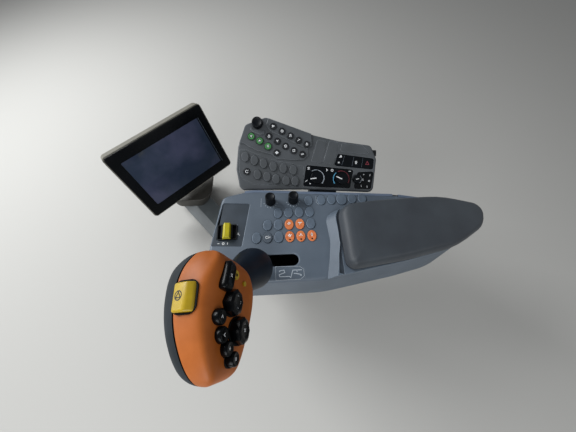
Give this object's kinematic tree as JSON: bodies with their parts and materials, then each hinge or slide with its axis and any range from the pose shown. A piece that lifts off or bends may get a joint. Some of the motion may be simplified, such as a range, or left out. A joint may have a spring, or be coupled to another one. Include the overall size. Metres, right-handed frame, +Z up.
{
  "type": "armrest control console",
  "caption": "Cab armrest console with key deck, multi-function lever, hinged arm pad, side keypad pod and a touch display on an arm.",
  "frame": {"origin": "centre of the seat bracket's four bolt holes, on the bracket's underside", "axes": "+X outboard to the machine's right, away from the seat; +Y forward; +Z up"},
  "size_m": [0.6169, 0.8049, 0.4882],
  "materials": {
    "bracket_steel": "satin black powder coat",
    "slide_steel": "zinc plated steel",
    "pan_plastic": "fine grained black plastic",
    "console_plastic": "grained grey moulding",
    "key_grey": "soft grey key rubber",
    "key_orange": "translucent orange key",
    "black_plastic": "satin black plastic",
    "yellow_plastic": "satin yellow plastic",
    "bin_plastic": "grained black plastic",
    "boot_rubber": "satin black rubber",
    "grip_orange": "satin orange soft-touch plastic",
    "grip_black": "satin dark grey rubber",
    "pad_skin": "grained soft polyurethane skin",
    "arm_paint": "satin grey paint",
    "pedestal_plastic": "grained warm grey plastic",
    "display_shell": "fine grained warm grey plastic",
    "bezel_black": "gloss black plastic",
    "screen_glass": "dark unlit screen",
    "pod_plastic": "grained grey moulding",
    "key_green": "grey key with a green ring",
    "panel_black": "satin black panel"
  },
  "bodies": {
    "seat": {"seat_bracket": "bracket_steel"},
    "console": {"slide_carriage": "slide_steel", "lower_pan": "pan_plastic", "console_shell": "console_plastic", "keys_grey": "key_grey", "keys_large": "key_grey", "keys_orange": "key_orange", "key_symbol": "black_plastic", "rotary_knobs": "black_plastic", "switch_frame": "black_plastic", "switch_paddle": "yellow_plastic", "storage_bin": "bin_plastic", "lever_bracket": "slide_steel", "lever_pin": "slide_steel", "lid_pin": "slide_steel", "display_arm": "arm_paint", "pedestal": "pedestal_plastic", "pod_bracket": "pan_plastic", "pod_back": "pod_plastic", "pod_face": "pod_plastic", "pod_ovals": "pod_plastic", "pod_green_keys": "key_green", "pod_round_keys": "black_plastic", "pod_blanks": "pod_plastic", "climate_panel": "panel_black", "climate_dials": "black_plastic", "switch_strip": "panel_black", "mode_keypad": "panel_black", "pod_knob": "black_plastic"},
    "lever": {"lever_shaft": "slide_steel", "lever_ball": "boot_rubber", "grip_face": "grip_orange", "grip_shell": "grip_black", "grip_keys": "black_plastic", "grip_four_ways": "black_plastic", "grip_yellow_keys": "yellow_plastic", "grip_rocker": "black_plastic", "quick_stop": "yellow_plastic", "stop_collar": "black_plastic"},
    "armrest": {"lid_base": "pan_plastic", "armrest_pad": "pad_skin"},
    "display_head": {"swivel_yoke": "pedestal_plastic", "tilt_pin": "slide_steel"},
    "display": {"display_back": "display_shell", "display_bezel": "bezel_black", "display_screen": "screen_glass"}
  },
  "joints": [
    {"name": "console_slide", "type": "slide", "parent": "seat", "child": "console", "axis": [0, 1, 0], "range_m": [-0.04, 0.04]},
    {"name": "lever_swing", "type": "hinge", "parent": "console", "child": "lever", "pos_m": [-0.05, 0.15, 0.062], "axis": [1, 0, 0], "range_deg": [-8, 20]},
    {"name": "armrest_lid", "type": "hinge", "parent": "console", "child": "armrest", "pos_m": [0.024, -0.263, 0.168], "axis": [1, 0, 0], "range_deg": [0, 75]},
    {"name": "display_swivel", "type": "hinge", "parent": "console", "child": "display_head", "pos_m": [0.2786, 0.40439, -0.052], "axis": [0, 0, 1], "range_deg": [-20, 20]},
    {"name": "display_tilt", "type": "hinge", "parent": "display_head", "child": "display", "pos_m": [0.2786, 0.40439, -0.00851], "axis": [0.6652, -0.7466, 0], "range_deg": [-10, 10]}
  ]
}
